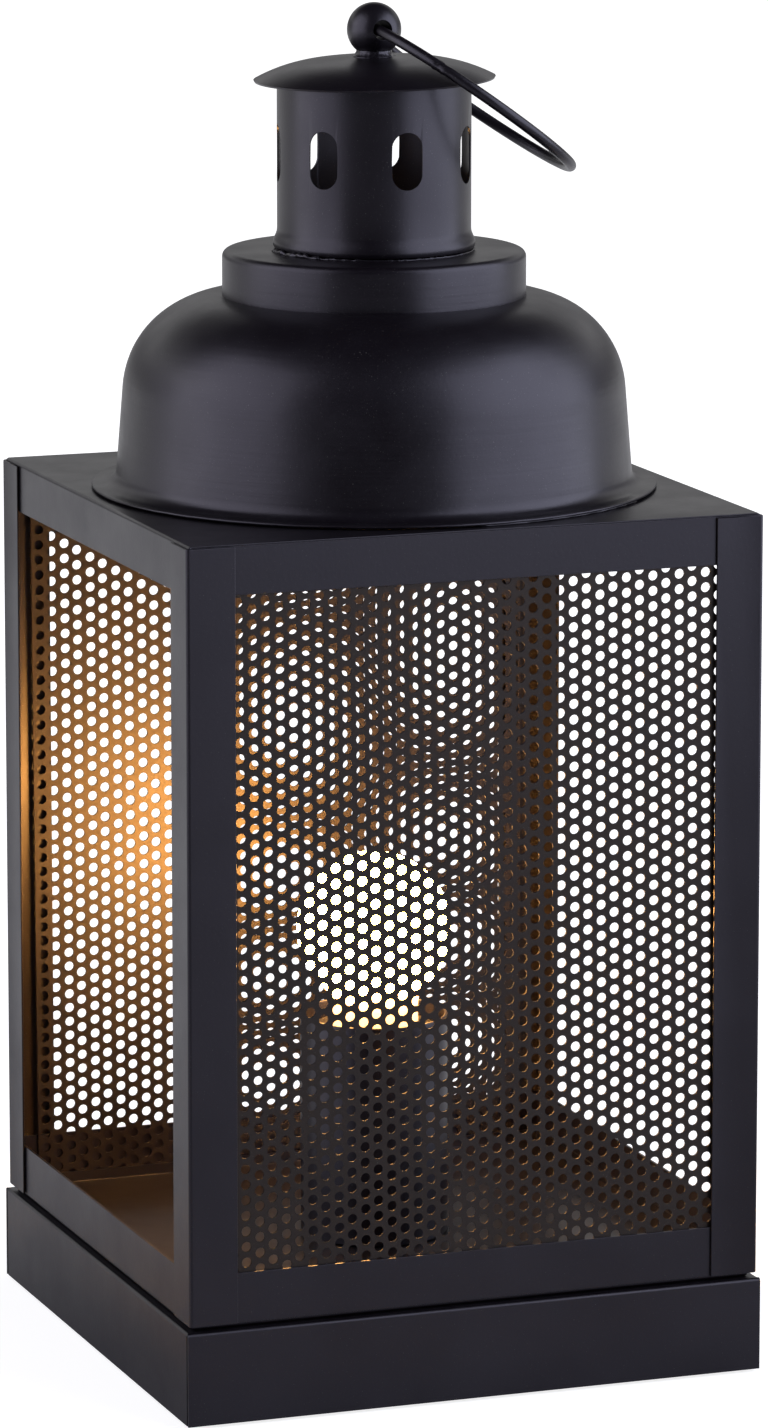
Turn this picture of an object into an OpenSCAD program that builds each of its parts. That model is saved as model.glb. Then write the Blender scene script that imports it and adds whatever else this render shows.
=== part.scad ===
// Lantern table lamp: a folded plinth, a cage of angle posts and rails with a perforated sheet in
// the front and in the back, a plate with a spun dome, neck, chimney and cap, a carrying ring, and
// a globe bulb in a lampholder with a sleeve. +Z is up, -Y is the front, and the floor is z = 0.

/* [Cage] */
// Outer width of the cage, left to right
body_w = 171; // [160:1:190]
// Outer depth of the cage, front to back
body_d = 170; // [160:1:190]
// Height of the cage, from the lower ends of its posts to the top plate
cage_h = 220.2; // [200:0.1:260]
// Thickness of the sheet metal
sheet_t = 0.8; // [0.6:0.1:1]
// Width of a corner post's flange
post_flange = 14.2; // [12:0.1:18]
// Height of the top rails
top_rail_h = 14.2; // [10:0.1:20]
// Height of the bottom rails
bottom_rail_h = 14.4; // [10:0.1:20]
// Height of the floor pan's rim above its floor
pan_rim_h = 3.2; // [2:0.1:6]

/* [Base] */
// Height of the plinth
plinth_h = 26.8; // [24:0.1:34]
// How far the plinth stands out past the cage on each side
plinth_over = 0.8; // [0.4:0.1:2]
// Gap between the plinth and the cage
cage_gap = 1.5; // [1:0.1:2.5]
// Open slit at each corner of the folded plinth
corner_slit = 0.35; // [0.2:0.05:0.6]
// How far the rubber feet stand out under the plinth
foot_proud = 1; // [0.6:0.1:2]

/* [Perforated sheet] */
// The real sheet has 3 mm holes, 4.5 mm apart. It is drawn at twice that, with the same open share.
// Thickness of the perforated sheet
mesh_t = 0.7; // [0.5:0.1:1]
// Width of the perforated sheet
mesh_w = 156; // [144:1:160]
// Diameter of a hole
mesh_hole_d = 6; // [4:0.5:7]
// Distance between neighbouring holes in a column
mesh_pitch = 9; // [8:0.5:12]
// Distance between neighbouring columns of holes
mesh_column = 8; // [7:0.5:12]

/* [Dome and neck] */
// Radius of the dome's rolled rim
dome_rim_r = 81.2; // [78:0.1:83]
// Radius of the dome's wall at its foot
dome_foot_r = 74; // [70:0.1:76]
// Height of the dome
dome_h = 55.2; // [50:0.1:60]
// Radius of the dome's rounded shoulder
shoulder_r = 28.3; // [26:0.1:30]
// Radius of the opening in the top plate, under the dome
plate_hole_r = 50; // [40:1:60]
// Radius of the neck ring
neck_r = 43.5; // [40:0.1:46]
// Height of the neck ring
neck_h = 13; // [10:0.1:16]

/* [Chimney and cap] */
// Outer radius of the chimney
chimney_r = 27.75; // [25:0.05:30]
// Height of the chimney
chimney_h = 51.1; // [50:0.1:60]
// Number of vent slots
slot_count = 7; // [5:1:9]
// Width of a vent slot
slot_w = 9.2; // [7:0.1:10]
// Height of a vent slot
slot_h = 16.4; // [12:0.1:18]
// Radius of the cap's brim
cap_r = 34.5; // [33:0.1:34.6]

/* [Finial and ring] */
// Radius of the ball
ball_r = 7.6; // [7:0.1:8]
// Diameter of the cross hole in the ball
ball_hole_d = 5.2; // [5.1:0.1:5.6]
// Radius of the carrying ring, to the middle of its wire
ring_r = 35.1; // [35:0.1:40]
// Diameter of the ring's wire
wire_d = 3.1; // [2.8:0.1:3.1]
// How far the ring droops below level, in degrees
ring_droop = 35.6; // [20:0.1:36]
// How far the ring's tip is turned towards the front, loose in the ball's hole, in degrees
ring_turn = 5.1; // [0:0.1:5.1]

/* [Bulb and lampholder] */
// Diameter of the glass globe
globe_d = 45; // [44:1:46]
// Height of the globe's middle above the ground
globe_z = 118.9; // [118:0.1:122]
// Radius of the lampholder's sleeve
sleeve_r = 21.5; // [20.5:0.1:23]
// Height of the lampholder's sleeve
sleeve_h = 65.4; // [62:0.1:66]

/* [Hidden] */

black = "#2b2d31";
brown = "#3d3228";
steel = "#8f9297";
brass_yellow = "#b8954a";
rubber_grey = "#1b1b1c";
phenolic = "#1d1a18";
ceramic_white = "#e9e6de";

cut = 1;              // how far a cutter runs past what it cuts
round_fn = 96;        // sides of a large round in the preview
small_fn = 32;        // sides of a small round
hole_fn = 24;         // sides of a wire or of a hole in the perforated sheet
arc_steps = 12;       // chords in a drawn arc

// Levels, from the ground up
plinth_top = foot_proud + plinth_h;
plinth_under = plinth_top - sheet_t;
floor_z = plinth_top + sheet_t;
cage_z = plinth_top + cage_gap;
cage_top = cage_z + cage_h;
plate_z = cage_top - sheet_t;
dome_top = cage_top + dome_h;
neck_top = dome_top + neck_h;
chimney_top = neck_top + chimney_h;

// Layers of the cage, from the outside in: post, rail, perforated sheet, floor pan
post_x = body_w / 2;
post_y = body_d / 2;
rail_x = post_x - sheet_t;
rail_y = post_y - sheet_t;
inner_x = rail_x - sheet_t;
mesh_y = rail_y - sheet_t;
pan_y = mesh_y - mesh_t;

plinth_x = post_x + plinth_over;
plinth_y = post_y + plinth_over;

// Points along an arc about [x, z], from angle a to angle b
function arc(x, z, r, a, b, n = arc_steps) =
    [for (i = [0:n]) let (t = a + (b - a) * i / n) [x + r * cos(t), z + r * sin(t)]];

function reversed(list) = [for (i = [len(list) - 1:-1:0]) list[i]];

function last_of(list) = list[len(list) - 1];

// A flat plate between two corners, with its thickness along Z
module slab(x, y, z, height) {
    translate([-x, -y, z])
    cube([2 * x, 2 * y, height]);
}

module rod(r, z, height) {
    translate([0, 0, z])
    cylinder(r = r, h = height, $fn = round_fn);
}

module tube(r, bore, z, height) {
    difference() {
        rod(r, z, height);
        rod(bore, z - cut, height + 2 * cut);
    }
}

module turned(points) {
    rotate_extrude($fn = round_fn)
    polygon(points);
}

module at_corners(x, y) {
    for (side = [-1, 1]) {
        for (end = [-1, 1]) {
            translate([side * x, end * y, 0])
            children();
        }
    }
}

// ---- Plinth ----

cover_z = foot_proud + 1.5;   // the cover sits inside the plinth's lower edge
cover_gap = 0.3;
tab_w = 16;
tab_t = 1.2;
tab_z = cover_z + sheet_t;
screw_x = plinth_x - 10;
screw_y = plinth_y - 10;
stem_hole_r = 5.1;
inlet_z = foot_proud + plinth_h / 2;
inlet_hole_r = 4.5;

module base_plinth() {
    wall_h = plinth_h - sheet_t;
    side_y = plinth_y - sheet_t - corner_slit;
    color(black)
    difference() {
        union() {
            slab(plinth_x, plinth_y, plinth_under, sheet_t);
            for (side = [-1, 1]) {
                // front and back walls
                translate([0, side * (plinth_y - sheet_t / 2), 0])
                slab(plinth_x, sheet_t / 2, foot_proud, wall_h);
                // left and right walls, short of the corners by the open slit
                translate([side * (plinth_x - sheet_t / 2), 0, 0])
                slab(sheet_t / 2, side_y, foot_proud, wall_h);
                // tabs that the cover's screws go into
                for (end = [-1, 1]) {
                    translate([side * (plinth_x - sheet_t - tab_w / 2), end * (side_y - tab_w / 2), 0])
                    slab(tab_w / 2, tab_w / 2, tab_z, tab_t);
                }
            }
        }
        rod(stem_hole_r, plinth_under - cut, sheet_t + 2 * cut);
        at_corners(screw_x, screw_y)
        rod(screw_r + 0.05, tab_z - cut, tab_t + 2 * cut);
        translate([0, plinth_y + cut, inlet_z])
        rotate([90, 0, 0])
        cylinder(r = inlet_hole_r, h = sheet_t + 2 * cut, $fn = round_fn);
    }
}

screw_r = 1.5;
screw_head_r = 2.8;
screw_head_h = 1.6;
foot_r = 7;
foot_inset = 26;

module bottom_cover() {
    color(black)
    difference() {
        slab(plinth_x - sheet_t - cover_gap, plinth_y - sheet_t - cover_gap, cover_z, sheet_t);
        at_corners(screw_x, screw_y)
        rod(screw_r + 0.2, cover_z - cut, sheet_t + 2 * cut);
    }
}

module cover_screws() {
    color(steel)
    at_corners(screw_x, screw_y) {
        rod(screw_head_r, cover_z - screw_head_h, screw_head_h);
        rod(screw_r, cover_z, 5);
    }
}

module rubber_feet() {
    color(rubber_grey)
    at_corners(plinth_x - foot_inset, plinth_y - foot_inset)
    rod(foot_r, 0, cover_z);
}

grommet_flange_r = 6.5;
grommet_flange_t = 1.5;
grommet_bore_r = 3.2;

module inlet_grommet() {
    back = grommet_flange_t;
    wall = sheet_t;
    color(rubber_grey)
    translate([0, plinth_y, inlet_z])
    rotate([-90, 0, 0])
    turned([
        [grommet_bore_r, back], [grommet_flange_r, back], [grommet_flange_r, 0],
        [inlet_hole_r, 0], [inlet_hole_r, -wall], [grommet_flange_r, -wall],
        [grommet_flange_r, -wall - back], [grommet_bore_r, -wall - back]
    ]);
}

// ---- Cage ----

module floor_pan() {
    color(brown)
    difference() {
        slab(inner_x, pan_y, plinth_top, sheet_t + pan_rim_h);
        slab(inner_x - sheet_t, pan_y - sheet_t, floor_z, pan_rim_h + cut);
        rod(stem_hole_r, plinth_top - cut, sheet_t + 2 * cut);
    }
}

// An angle post; side is -1 for left and 1 for right, end is -1 for front and 1 for back
module corner_post(side, end) {
    color(black)
    mirror([side < 0 ? 1 : 0, 0, 0])
    mirror([0, end < 0 ? 1 : 0, 0])
    translate([post_x, post_y, cage_z])
    linear_extrude(height = cage_h)
    polygon([
        [0, 0], [-post_flange, 0], [-post_flange, -sheet_t], [-sheet_t, -sheet_t],
        [-sheet_t, -post_flange], [0, -post_flange]
    ]);
}

// A rail across the front (-1) or the back (1)
module cross_rail(end, z, height) {
    color(black)
    translate([0, end * (rail_y - sheet_t / 2), 0])
    slab(rail_x, sheet_t / 2, z, height);
}

// A rail along the left (-1) or the right (1)
module side_rail(side, z, height) {
    translate([side * (rail_x - sheet_t / 2), 0, 0])
    slab(sheet_t / 2, mesh_y, z, height);
}

module top_plate() {
    color(black)
    difference() {
        union() {
            slab(rail_x, rail_y, plate_z, sheet_t);
            // its left and right edges are folded down as the side top rails
            side_rail(-1, cage_top - top_rail_h, top_rail_h - sheet_t);
            side_rail(1, cage_top - top_rail_h, top_rail_h - sheet_t);
        }
        rod(plate_hole_r, plate_z - cut, sheet_t + 2 * cut);
    }
}

mesh_clear = 0.5;     // from the sheet's lower and upper edges to what is beyond them
mesh_border = 1.5;    // least solid edge beside the holes

// Staggered round holes in a sheet, in upright columns that are half a pitch apart in height
module perforated_sheet(end) {
    height = plate_z - cage_z - 2 * mesh_clear;
    columns = floor((mesh_w - mesh_hole_d - 2 * mesh_border) / mesh_column);
    rows = floor((height - mesh_hole_d - mesh_pitch / 2 - 2 * mesh_border) / mesh_pitch);
    first_x = -columns * mesh_column / 2;
    first_z = (height - (rows + 0.5) * mesh_pitch) / 2;
    color(brown)
    translate([0, end < 0 ? -mesh_y + mesh_t : mesh_y, cage_z + mesh_clear])
    rotate([90, 0, 0])
    linear_extrude(height = mesh_t)
    difference() {
        translate([-mesh_w / 2, 0])
        square([mesh_w, height]);
        for (column = [0:columns]) {
            for (row = [0:rows]) {
                translate([
                    first_x + column * mesh_column,
                    first_z + (row + (column % 2) / 2) * mesh_pitch
                ])
                circle(d = mesh_hole_d, $fn = hole_fn);
            }
        }
    }
}

// ---- Dome, neck, chimney and cap ----

rim_wire_r = 1.2;     // half height of the dome's rolled rim
flange_lift = 1;      // underside of the dome's flange above the plate
foot_fillet = 4;      // hollow between the dome's wall and its flange
shoulder_start = 4.5; // the wall leans in by this many degrees
dome_hole_r = 38;

module dome() {
    flange_z = flange_lift + sheet_t;
    fillet_x = dome_foot_r + foot_fillet;
    fillet_z = flange_z + foot_fillet;
    shoulder_x = dome_foot_r - shoulder_r - 1.8;
    shoulder_z = dome_h - shoulder_r;
    rim_x = dome_rim_r - rim_wire_r;
    outside = concat(
        [[rim_x, flange_z]],
        arc(fillet_x, fillet_z, foot_fillet, 270, 180, 6),
        arc(shoulder_x, shoulder_z, shoulder_r, shoulder_start, 90, 16),
        [[dome_hole_r, dome_h]]
    );
    inside = concat(
        [[rim_x, flange_lift]],
        arc(fillet_x, fillet_z, foot_fillet + sheet_t, 270, 180, 6),
        arc(shoulder_x, shoulder_z, shoulder_r - sheet_t, shoulder_start, 90, 16),
        [[dome_hole_r, dome_h - sheet_t]]
    );
    color(black)
    translate([0, 0, cage_top])
    rotate_extrude($fn = round_fn)
    union() {
        polygon(concat(outside, reversed(inside)));
        translate([rim_x, rim_wire_r])
        circle(r = rim_wire_r, $fn = small_fn);
    }
}

neck_edge_r = 2;

module neck_ring() {
    bore = chimney_r - sheet_t;
    edge_x = neck_r - neck_edge_r;
    edge_z = neck_h - neck_edge_r;
    outside = concat([[neck_r, 0]], arc(edge_x, edge_z, neck_edge_r, 0, 90, 6), [[bore, neck_h]]);
    inside = concat(
        [[neck_r - sheet_t, 0]],
        arc(edge_x, edge_z, neck_edge_r - sheet_t, 0, 90, 6),
        [[bore, neck_h - sheet_t]]
    );
    color(black)
    translate([0, 0, dome_top])
    turned(concat(outside, reversed(inside)));
}

bead_r = 1.35;        // half height of the bead at the chimney's foot
slot_z = 27.9;        // middle of the vent slots above the chimney's foot

// Outline of a slot with round ends
function slot_outline(width, height) =
    concat(
        arc(0, (height - width) / 2, width / 2, 0, 180, 10),
        arc(0, (width - height) / 2, width / 2, 180, 360, 10)
    );

module chimney() {
    color(black)
    translate([0, 0, neck_top])
    difference() {
        rotate_extrude($fn = round_fn)
        union() {
            translate([chimney_r - sheet_t, 0])
            square([sheet_t, chimney_h]);
            translate([chimney_r + 0.2, bead_r])
            circle(r = bead_r, $fn = small_fn);
        }
        rod(chimney_r - sheet_t, -cut, bead_r * 2 + cut);
        for (i = [0:slot_count - 1]) {
            // the first slot faces the front
            rotate([0, 0, i * 360 / slot_count])
            translate([0, 0, slot_z])
            rotate([90, 0, 0])
            linear_extrude(height = chimney_r + cut)
            polygon(slot_outline(slot_w, slot_h));
        }
    }
}

crown_r = 150;        // the cap's flat middle is part of a large sphere
crown_edge = 6.9;     // slope where the middle meets the cap's rounder border, in degrees
border_r = 47.2;
brim_slope = 28;
cap_lift = 4.2;       // from the chimney's upper end to the cap's crown
cap_hole_r = 2.15;
cap_top = chimney_top + cap_lift;
collar_r = 5.2;
collar_h = 1.7;
ball_flat = 5.9;      // from the ball's middle down to its flat
ball_bore_h = 2.7;    // depth of the blind hole above the flat
ball_z = cap_top + collar_h + ball_flat;
hinge_z = ball_z;
ring_slip = 0.5;      // how far the ring is pushed back through its loose hole

// One face of the cap, a distance inside its outer face
function cap_face(inset) =
    let (border_x = (crown_r - border_r) * sin(crown_edge))
    let (border_z = (crown_r - border_r) * cos(crown_edge) - crown_r)
    concat(
        [for (i = [0:6]) let (t = asin(cap_hole_r / crown_r) * (1 - i / 6) + crown_edge * i / 6)
            [(crown_r - inset) * sin(t), (crown_r - inset) * cos(t) - crown_r]],
        [for (i = [1:8]) let (t = crown_edge + (brim_slope - crown_edge) * i / 8)
            [border_x + (border_r - inset) * sin(t), border_z + (border_r - inset) * cos(t)]]
    );

module chimney_cap() {
    stretch = cap_r / last_of(cap_face(0)).x;
    color(black)
    translate([0, 0, cap_top])
    difference() {
        scale([stretch, stretch, stretch])
        turned(concat(cap_face(0), reversed(cap_face(sheet_t))));
        rod(cap_hole_r, -sheet_t - cut, sheet_t + 2 * cut);
    }
}

module finial_collar() {
    color(black)
    tube(collar_r, cap_hole_r, cap_top, collar_h);
}

module finial_ball() {
    color(black)
    difference() {
        translate([0, 0, ball_z])
        sphere(r = ball_r, $fn = round_fn);
        // flat underside
        slab(ball_r, ball_r, ball_z - ball_r - cut, ball_r - ball_flat + cut);
        // blind hole for the screw
        rod(bolt_r + 0.05, ball_z - ball_flat - cut, ball_bore_h + cut);
        // cross hole for the ring, front to back
        translate([0, ball_r + cut, hinge_z])
        rotate([90, 0, 0])
        cylinder(d = ball_hole_d, h = 2 * (ball_r + cut), $fn = round_fn);
    }
}

bolt_r = 2;
bolt_head_r = 3.5;
bolt_head_h = 2.4;
washer_r = 4.5;
washer_t = 0.8;
washer_z = cap_top - 0.9 - washer_t;

module finial_washer() {
    color(steel)
    tube(washer_r, cap_hole_r, washer_z, washer_t);
}

module finial_screw() {
    color(steel) {
        rod(bolt_head_r, washer_z - bolt_head_h, bolt_head_h);
        rod(bolt_r, washer_z - 0.1, ball_z - ball_flat + ball_bore_h - 0.4 - washer_z);
    }
}

module carrying_ring() {
    color(black)
    translate([0, 0, hinge_z])
    rotate([0, 0, -ring_turn])
    rotate([0, ring_droop, 0])
    translate([ring_r - ring_slip, 0, 0])
    rotate_extrude($fn = round_fn)
    translate([ring_r, 0])
    circle(d = wire_d, $fn = hole_fn);
}

// ---- Lampholder ----

sleeve_t = 1;
stem_r = 5;
stem_bore_r = 3.5;
stem_low = plinth_under - 8;
stem_high = floor_z + 17.4;
nut_h = 4;
nut_flats = 14;
stem_washer_r = 10;

module holder_sleeve() {
    color(black)
    difference() {
        rod(sleeve_r, floor_z, sleeve_h);
        rod(sleeve_r - sleeve_t, floor_z + sleeve_t, sleeve_h);
        rod(stem_hole_r, floor_z - cut, sleeve_t + 2 * cut);
    }
}

module threaded_stem() {
    color(steel)
    tube(stem_r, stem_bore_r, stem_low, stem_high - stem_low);
}

module hexagon_nut(flats, bore, z, height) {
    difference() {
        translate([0, 0, z])
        cylinder(d = flats / cos(30), h = height, $fn = 6);
        rod(bore, z - cut, height + 2 * cut);
    }
}

module stem_nuts() {
    color(steel) {
        hexagon_nut(nut_flats, stem_r + 0.05, plinth_under - washer_t - nut_h, nut_h);
        hexagon_nut(nut_flats, stem_r + 0.05, floor_z + sleeve_t, nut_h);
    }
}

module stem_washer() {
    color(steel)
    tube(stem_washer_r, stem_r + 0.1, plinth_under - washer_t, washer_t);
}

holder_r = 17.5;
holder_z = floor_z + 7.4;       // underside of the lampholder
insert_z = holder_z + 16;       // underside of the insert that carries the contacts
insert_r = 15.2;
insert_h = 8;
shell_z = insert_z + 2;
shell_top = shell_z + 36;
screw_bore_r = 13.5;
contact_floor = insert_z + insert_h;
lead_hole_x = 6;
contact_screw_x = 11;

// Cup at the bottom of the lampholder, screwed onto the stem
module holder_base() {
    color(phenolic)
    difference() {
        rod(holder_r, holder_z, shell_z - holder_z);
        rod(insert_r + 0.1, holder_z + 4, shell_z - holder_z);
        rod(stem_r + 0.05, holder_z - cut, 4 + 2 * cut);
    }
}

// Block that carries the contacts, with two holes for the leads
module holder_insert() {
    color(ceramic_white)
    difference() {
        rod(insert_r, insert_z, insert_h);
        for (side = [-1, 1]) {
            translate([side * lead_hole_x, 0, 0])
            rod(1.3, insert_z - cut, 5 + cut);
            translate([side * contact_screw_x, 0, 0])
            rod(1.5, insert_z - cut, 6 + cut);
        }
    }
}

// Upper sleeve of the lampholder, whose bore takes the bulb's cap
module holder_shell() {
    color(phenolic)
    difference() {
        rod(holder_r, shell_z, shell_top - shell_z);
        rod(insert_r + 0.1, shell_z - cut, contact_floor - shell_z + cut);
        rod(screw_bore_r, shell_z, shell_top - shell_z + cut);
        // pocket for the side contact
        translate([screw_bore_r - 1, -3, contact_floor - cut])
        cube([2.4, 6, 13 + cut]);
    }
}

contact_w = 5;
contact_t = 0.5;

// Sprung strip that the tip of the bulb rests over
module centre_contact() {
    tip_gap = 0.2;
    high = bulb_low - tip_gap - contact_floor;
    color(brass_yellow)
    translate([0, contact_w / 2, contact_floor])
    rotate([90, 0, 0])
    linear_extrude(height = contact_w)
    polygon([
        [-12, 0], [-6.4, 0], [-2.8, high - contact_t], [3, high - contact_t], [3, high],
        [-3.2, high], [-6.8, contact_t], [-12, contact_t]
    ]);
}

// Upright strip beside the bulb's screw cap
module side_contact() {
    color(brass_yellow)
    translate([screw_bore_r + 0.4, -contact_w / 2, contact_floor])
    cube([contact_t, contact_w, 12]);
}

module contact_screws() {
    color(brass_yellow)
    for (side = [-1, 1]) {
        translate([side * contact_screw_x, 0, 0]) {
            rod(2.6, insert_z - 2, 2);
            rod(1.45, insert_z - 0.1, 5.6);
        }
    }
}

// ---- Bulb ----

globe_r = globe_d / 2;
glass_t = 0.8;
bulb_neck_r = 12.8;
neck_fillet = 8;
bulb_len = 78;
bulb_low = globe_z + globe_r - bulb_len;
cap_low = bulb_low + 5.6;       // lower end of the screw cap's threaded part
cap_high = bulb_low + 27;
glass_low = cap_high - 5;
thread_pitch = 3.6;
thread_depth = 0.4;

// One face of the glass, from the top of the globe to the end of its neck
function glass_face(inset) =
    let (fillet_x = bulb_neck_r + neck_fillet)
    let (drop = sqrt(pow(globe_r + neck_fillet, 2) - pow(fillet_x, 2)))
    let (meet = atan2(drop, fillet_x))
    concat(
        arc(0, globe_z, globe_r - inset, 90, -meet, 24),
        arc(fillet_x, globe_z - drop, neck_fillet + inset, 180 - meet, 180, 6),
        [[bulb_neck_r - inset, glass_low]]
    );

module bulb_globe() {
    color("#fff3d8")
    turned(concat(glass_face(0), reversed(glass_face(glass_t))));
}

// One face of the threaded cap
function cap_wave(inset) =
    [for (i = [0:40]) let (z = cap_low + (glass_low - cap_low) * i / 40)
        [bulb_neck_r - thread_depth * cos((z - cap_low) * 360 / thread_pitch) - inset - 0.1, z]];

module bulb_cap() {
    wall = 0.3;
    color(steel)
    turned(concat(
        cap_wave(0),
        [[bulb_neck_r + wall, glass_low], [bulb_neck_r + wall, cap_high], [bulb_neck_r, cap_high],
            [bulb_neck_r, glass_low]],
        reversed(cap_wave(wall))
    ));
}

module bulb_insulator() {
    low = bulb_low + 0.9;
    color(phenolic)
    translate([0, 0, low])
    cylinder(r1 = 5, r2 = 12, h = cap_low - low, $fn = round_fn);
}

module bulb_contact() {
    color(brass_yellow)
    rod(4.5, bulb_low, 0.9);
}

module bulb_stem() {
    color(ceramic_white)
    rod(3, cap_low, globe_z - 11 - cap_low);
}

// Four upright light sources round the stem
module bulb_filaments() {
    color("#ffe9b0")
    for (turn = [45:90:315]) {
        rotate([0, 0, turn])
        translate([3.9, 0, 0])
        rod(0.9, globe_z - 14, 30);
    }
}

// ---- Wiring inside the plinth ----

block_y = 38;
block_size = [24, 17, 14];
pole_step = 8;
pole_z = plinth_under - 8;
clamp_r = 2.6;
clamp_bore_r = 1.4;
clamp_len = 14;

module at_poles() {
    for (pole = [-1:1]) {
        translate([pole * pole_step, 0, 0])
        children();
    }
}

module along_y(r, y, z, length) {
    translate([0, y + length / 2, z])
    rotate([90, 0, 0])
    cylinder(r = r, h = length, $fn = small_fn);
}

module terminal_block() {
    color(ceramic_white)
    difference() {
        translate([0, block_y, 0])
        slab(block_size.x / 2, block_size.y / 2, plinth_under - block_size.z, block_size.z);
        at_poles() {
            along_y(clamp_r, block_y, pole_z, block_size.y + 2 * cut);
            translate([0, block_y - 4, 0])
            rod(1.6, plinth_under - block_size.z - cut, 5);
        }
    }
}

module terminal_clamps() {
    color(brass_yellow)
    at_poles() {
        difference() {
            along_y(clamp_r, block_y, pole_z, clamp_len);
            along_y(clamp_bore_r, block_y, pole_z, clamp_len + 2 * cut);
        }
        translate([0, block_y - 4, 0])
        rod(1.5, plinth_under - block_size.z + 0.4, pole_z - 1.5 - plinth_under + block_size.z);
    }
}

lead_r = 1.05;
lead_sides = 8;

// Point at t in the stretch from b to c of a smooth curve through a, b, c and d
function spline(a, b, c, d, t) =
    0.5 * (2 * b + (c - a) * t + (2 * a - 5 * b + 4 * c - d) * t * t
        + (3 * b - a - 3 * c + d) * t * t * t);

function smooth(points, steps) =
    let (last = len(points) - 1)
    [for (i = [0:last - 1]) for (s = [0:steps - 1])
        spline(points[max(i - 1, 0)], points[i], points[i + 1], points[min(i + 2, last)], s / steps),
        points[last]];

function unit(v) = v / norm(v);

// A round lead along a curve, closed at both ends; up is a direction that the curve never runs in
module lead(points, up) {
    path = smooth(points, 2);
    last = len(path) - 1;
    rings = [for (i = [0:last])
        let (along = unit(path[min(i + 1, last)] - path[max(i - 1, 0)]))
        let (side = unit(cross(along, up)))
        let (over = cross(side, along))
        for (k = [0:lead_sides - 1])
            let (turn = k * 360 / lead_sides)
            path[i] + lead_r * (cos(turn) * side + sin(turn) * over)];
    walls = [for (i = [0:last - 1]) for (k = [0:lead_sides - 1])
        let (a = i * lead_sides + k)
        let (b = i * lead_sides + (k + 1) % lead_sides)
        each [[a, b, b + lead_sides], [a, b + lead_sides, a + lead_sides]]];
    ends = [
        [for (k = [lead_sides - 1:-1:0]) k],
        [for (k = [0:lead_sides - 1]) last * lead_sides + k]
    ];
    polyhedron(points = rings, faces = concat(ends, walls));
}

// From a pole of the terminal block, under the stem, up its bore and into the insert
function stem_route(side) = [
    [side * 8, 34, 19], [side * 8, 27, 19], [side * 7.2, 19, 18], [side * 5.2, 12, 15.6],
    [side * 3.4, 6, 13.4], [side * 2.2, 2, 13.4], [side * 1.7, 0.2, 15.6], [side * 1.6, 0, 19],
    [side * 1.6, 0, 31], [side * 1.6, 0, 43], [side * 2.2, 0, 46.6], [side * 4.8, 0, 49.4],
    [side * 6, 0, 52.4], [side * 6, 0, 56]
];

module live_lead() {
    color("#6b4423")
    lead(stem_route(-1), [0.97, 0.2, 0]);
}

module neutral_lead() {
    color("#2f5f9e")
    lead(stem_route(1), [0.97, -0.2, 0]);
}

tag_x = 28;
tag_y = 8;
tag_t = 0.8;
tag_barrel_z = plinth_under - 2.4;
tag_barrel_r = 1.8;
tag_bore_r = 1.2;
tag_barrel_len = 5;
tag_reach = 11;       // from the stud to the far end of the barrel

module earth_lead() {
    color("#6f8f2a")
    lead([
        [0, 34, 19], [0, 27, 19], [2, 20, 19.6], [7, 13.5, 21.4], [12, 9.8, 23.4],
        [16, 8.4, 24.4], [19.5, 8, 24.6]
    ], [0, 0, 1]);
}

module earth_tag() {
    color(brass_yellow)
    difference() {
        union() {
            translate([tag_x, tag_y, 0])
            rod(4.2, plinth_under - tag_t, tag_t);
            translate([tag_x - 7, tag_y, 0])
            slab(4, 1.6, plinth_under - tag_t, tag_t);
            translate([tag_x - tag_reach, tag_y, tag_barrel_z])
            rotate([0, 90, 0])
            cylinder(r = tag_barrel_r, h = tag_barrel_len, $fn = small_fn);
        }
        translate([tag_x, tag_y, 0])
        rod(bolt_r + 0.1, plinth_under - tag_t - cut, tag_t + 2 * cut);
        translate([tag_x - tag_reach - cut, tag_y, tag_barrel_z])
        rotate([0, 90, 0])
        cylinder(r = tag_bore_r, h = tag_barrel_len + 2 * cut, $fn = small_fn);
    }
}

module earth_stud() {
    color(steel)
    translate([tag_x, tag_y, 0])
    rod(bolt_r, plinth_under - 9, 9);
}

module earth_nut() {
    color(steel)
    translate([tag_x, tag_y, 0])
    hexagon_nut(7, bolt_r + 0.05, plinth_under - tag_t - 3.2, 3.2);
}

base_plinth();
bottom_cover();
cover_screws();
rubber_feet();
inlet_grommet();
floor_pan();
corner_post(-1, -1);  // corner_post_front_left
corner_post(1, -1);  // corner_post_front_right
corner_post(-1, 1);  // corner_post_back_left
corner_post(1, 1);  // corner_post_back_right
cross_rail(-1, cage_top - top_rail_h, top_rail_h - sheet_t);  // front_top_rail
cross_rail(1, cage_top - top_rail_h, top_rail_h - sheet_t);  // back_top_rail
cross_rail(-1, cage_z, bottom_rail_h);  // front_bottom_rail
cross_rail(1, cage_z, bottom_rail_h);  // back_bottom_rail
color(black) side_rail(-1, cage_z, bottom_rail_h);  // left_bottom_rail
color(black) side_rail(1, cage_z, bottom_rail_h);  // right_bottom_rail
top_plate();
perforated_sheet(-1);  // front_mesh
perforated_sheet(1);  // back_mesh
dome();
neck_ring();
chimney();
chimney_cap();
finial_collar();
finial_ball();
finial_screw();
finial_washer();
carrying_ring();
holder_sleeve();
threaded_stem();
stem_nuts();
stem_washer();
holder_base();
holder_insert();
holder_shell();
centre_contact();
side_contact();
contact_screws();
bulb_globe();
bulb_cap();
bulb_insulator();
bulb_contact();
bulb_stem();
bulb_filaments();
terminal_block();
terminal_clamps();
live_lead();
neutral_lead();
earth_lead();
earth_tag();
earth_stud();
earth_nut();
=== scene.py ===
import math

import bmesh
import bpy
from mathutils import Matrix, Vector


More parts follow.
